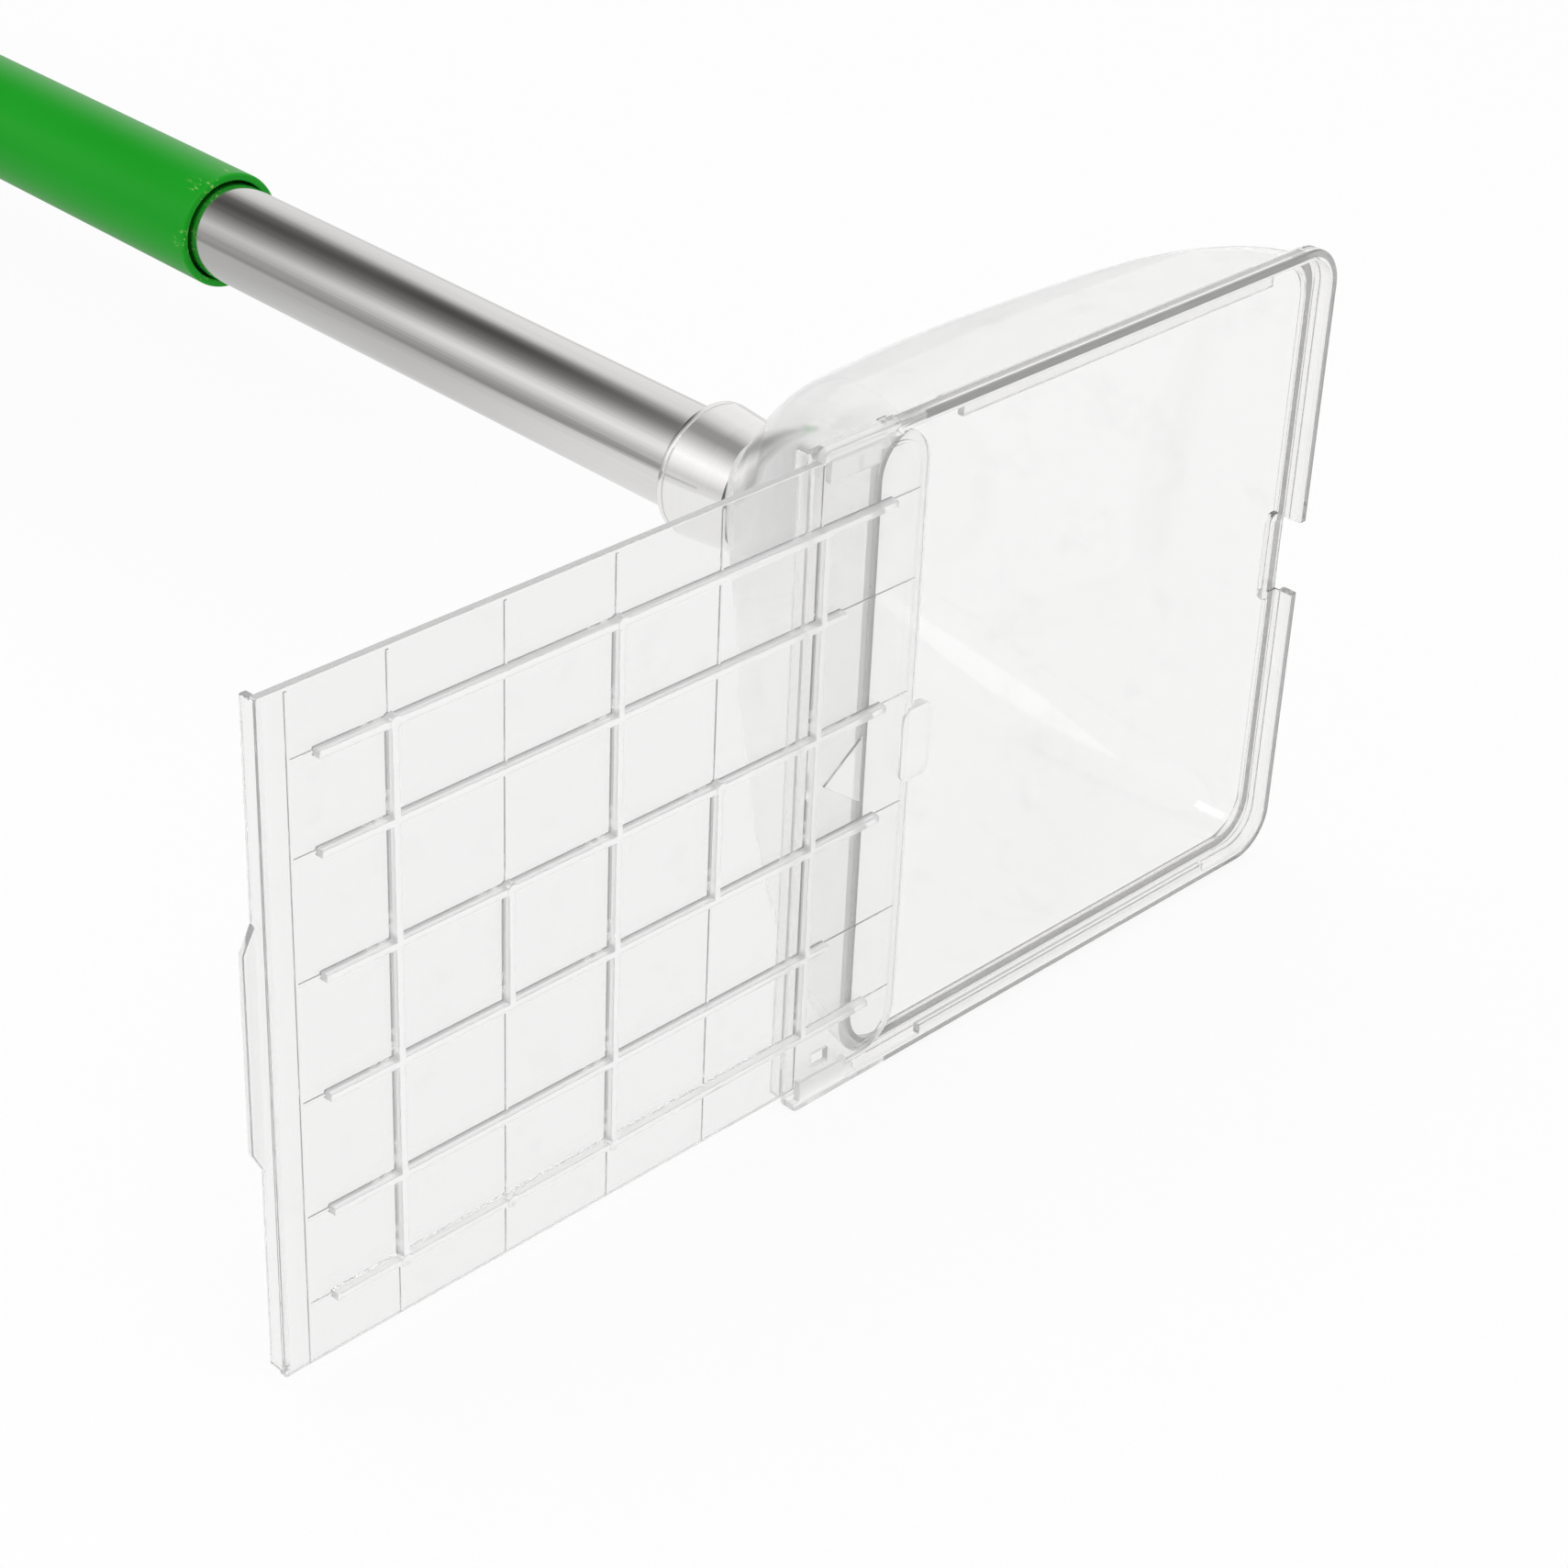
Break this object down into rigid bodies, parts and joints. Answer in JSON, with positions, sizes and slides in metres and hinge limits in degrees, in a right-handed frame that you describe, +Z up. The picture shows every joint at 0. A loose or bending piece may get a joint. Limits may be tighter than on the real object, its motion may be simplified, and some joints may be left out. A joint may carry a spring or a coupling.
{
  "type": "spider catcher",
  "caption": "Humane catcher with a clear trap, a sliding door plate that closes its square mouth, and a telescopic pole with a grip.",
  "frame": {"origin": "underside of the door frame, below the middle of the mouth, level with the front face of the door plate", "axes": "+Y from the mouth along the pole to the grip, +X the way the door closes, +Z up"},
  "size_m": [0.2477, 0.5684, 0.1306],
  "materials": {
    "clear_dome": "crystal clear moulding",
    "clear_frame": "crystal clear moulding",
    "clear_door": "crystal clear moulding",
    "collar_metal": "polished",
    "tube_steel": "bright drawn",
    "plug_plastic": "matte",
    "ring_rubber": "matte",
    "grip_plastic": "satin",
    "cap_plastic": "satin"
  },
  "bodies": {
    "trap": {"trap_dome": "clear_dome", "door_frame": "clear_frame", "neck_collar": "collar_metal", "pole_tube": "tube_steel", "tube_plug": "plug_plastic", "friction_ring_front": "ring_rubber", "friction_ring_rear": "ring_rubber"},
    "door": {"sliding_door": "clear_door"},
    "grip": {"grip_sleeve": "grip_plastic", "grip_end_cap": "cap_plastic"}
  },
  "joints": [
    {"name": "door_slide", "type": "slide", "parent": "trap", "child": "door", "axis": [1, 0, 0], "range_m": [0, 0.104]},
    {"name": "pole_slide", "type": "slide", "parent": "trap", "child": "grip", "axis": [0, 1, 0], "range_m": [-0.152, 0.08]}
  ]
}
